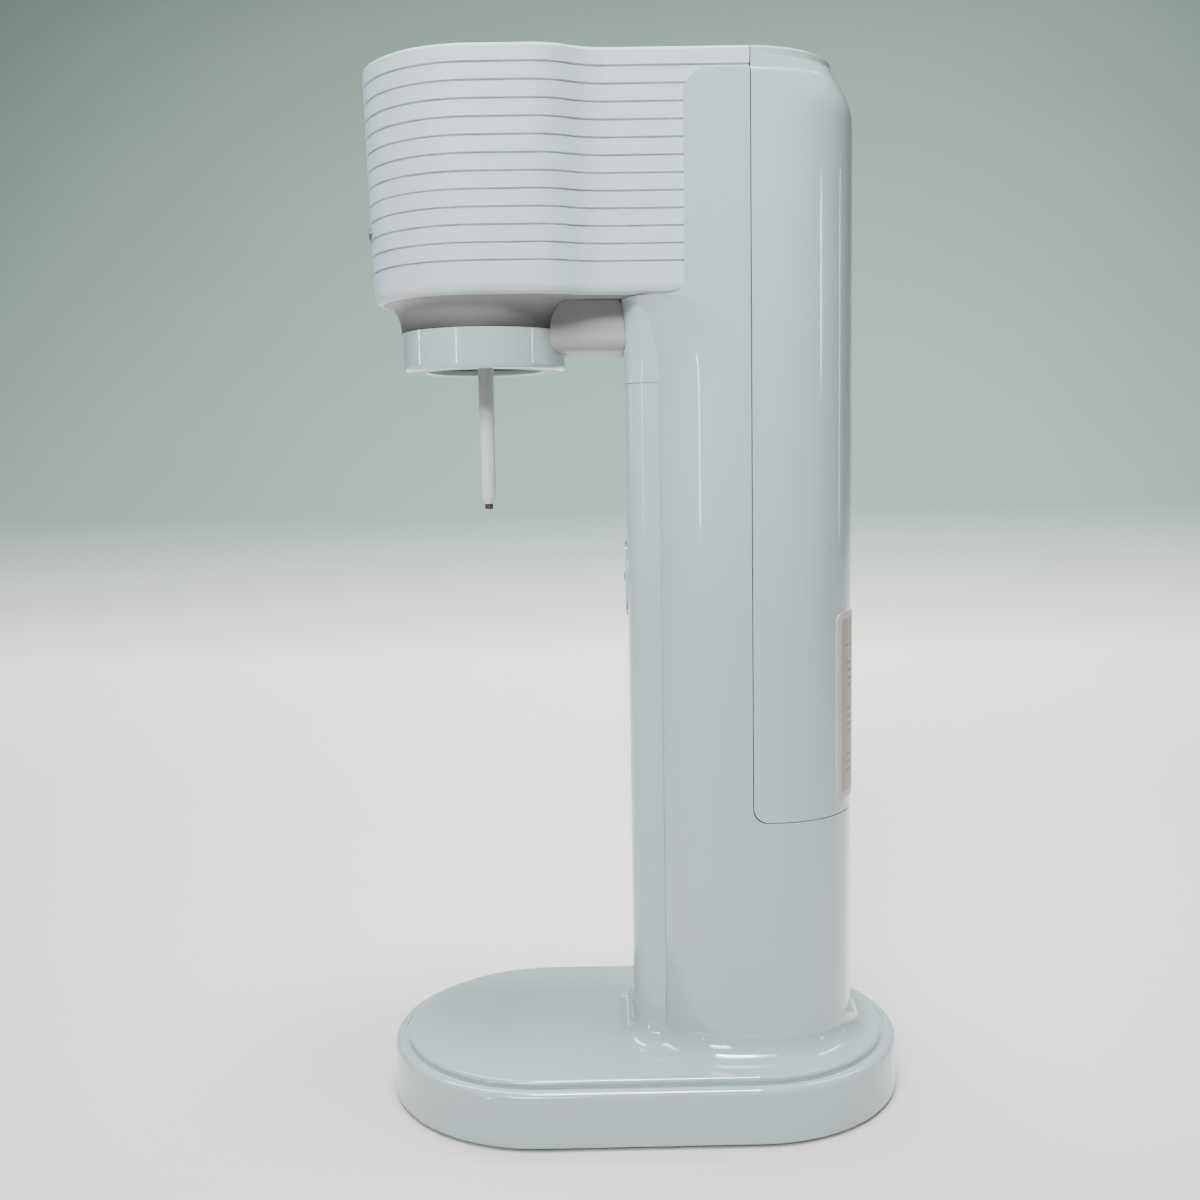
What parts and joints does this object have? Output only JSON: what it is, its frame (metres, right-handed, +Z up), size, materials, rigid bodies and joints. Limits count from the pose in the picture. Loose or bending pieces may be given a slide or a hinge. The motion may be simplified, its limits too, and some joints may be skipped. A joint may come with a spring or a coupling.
{
  "type": "soda carbonator",
  "caption": "Countertop soda carbonator: stadium base, oblong column with rear cover and ribbed head that carries a bottle collar, carbonating tube and fizz button.",
  "frame": {"origin": "centre of the base on the surface that the feet stand on", "axes": "+Z up; the front faces -Y; X runs across, and the machine is symmetric about X = 0"},
  "size_m": [0.131, 0.218, 0.4265],
  "materials": {
    "shell_gloss": "high gloss white moulding",
    "head_satin": "satin white moulding",
    "underside_satin": "warm grey satin moulding",
    "inner_plastic": "black glass-filled moulding",
    "socket_plastic": "dark grey moulding",
    "tube_nylon": "milky nylon",
    "badge_dark": "dark glossy insert",
    "foot_rubber": "black rubber",
    "seal_rubber": "black rubber",
    "cylinder_aluminium": "brushed aluminium",
    "brass_fitting": "turned brass",
    "pin_steel": "zinc plated steel",
    "label_paper": "cream coated label"
  },
  "bodies": {
    "machine": {"base_cover": "shell_gloss", "base_plate": "inner_plastic", "base_screws": "pin_steel", "bottle_seal": "seal_rubber", "bottle_socket": "socket_plastic", "button_guide": "inner_plastic", "carbonating_tube": "tube_nylon", "chassis": "inner_plastic", "chassis_screws": "pin_steel", "collar_ring": "shell_gloss", "column_shell": "shell_gloss", "cylinder_cradle": "inner_plastic", "cylinder_seal": "seal_rubber", "fizz_button_spring": "pin_steel", "front_badge": "badge_dark", "front_panel": "shell_gloss", "gas_hose": "seal_rubber", "gas_socket": "brass_fitting", "head_shell": "head_satin", "head_under_cover": "underside_satin", "lever_pin": "pin_steel", "neck_bridge": "underside_satin", "nozzle_block": "socket_plastic", "nozzle_tip": "pin_steel", "release_springs": "pin_steel", "relief_body": "socket_plastic", "relief_cap": "socket_plastic", "relief_poppet": "brass_fitting", "relief_spring": "pin_steel", "rubber_feet": "foot_rubber", "tip_seal": "seal_rubber"},
    "fizz_button": {"fizz_button": "head_satin"},
    "press_lever": {"press_lever": "inner_plastic"},
    "valve_pin": {"valve_pin": "pin_steel"},
    "release_latch": {"release_button": "shell_gloss", "release_yoke": "inner_plastic"},
    "rear_cover": {"rear_cover": "shell_gloss", "rating_label": "label_paper"},
    "gas_cylinder": {"gas_cylinder": "cylinder_aluminium", "cylinder_valve": "brass_fitting"}
  },
  "joints": [
    {"name": "fizz_button_press", "type": "slide", "parent": "machine", "child": "fizz_button", "axis": [0, 0, -1], "range_m": [0, 0.007], "stiffness_N_per_m": 900, "deforming": ["fizz_button_spring"]},
    {"name": "press_lever_tilt", "type": "hinge", "parent": "machine", "child": "press_lever", "pos_m": [0, 0.064, 0.396], "axis": [1, 0, 0], "range_deg": [0, 3.2]},
    {"name": "valve_pin_stroke", "type": "slide", "parent": "machine", "child": "valve_pin", "axis": [0, 0, -1], "range_m": [0, 0.001]},
    {"name": "release_button_press", "type": "slide", "parent": "machine", "child": "release_latch", "axis": [0, 1, 0], "range_m": [0, 0.004], "stiffness_N_per_m": 700, "deforming": ["release_springs"]},
    {"name": "rear_cover_lift_off", "type": "slide", "parent": "machine", "child": "rear_cover", "axis": [0, 1, 0], "range_m": [0, 0.08]},
    {"name": "gas_cylinder_unscrew", "type": "slide", "parent": "machine", "child": "gas_cylinder", "axis": [0, 0, -1], "range_m": [0, 0.012]}
  ],
  "couplings": [
    {"joint": "press_lever_tilt", "follows": "fizz_button_press", "rad_per_m": 7.9051},
    {"joint": "valve_pin_stroke", "follows": "fizz_button_press", "ratio": 0.14229}
  ]
}
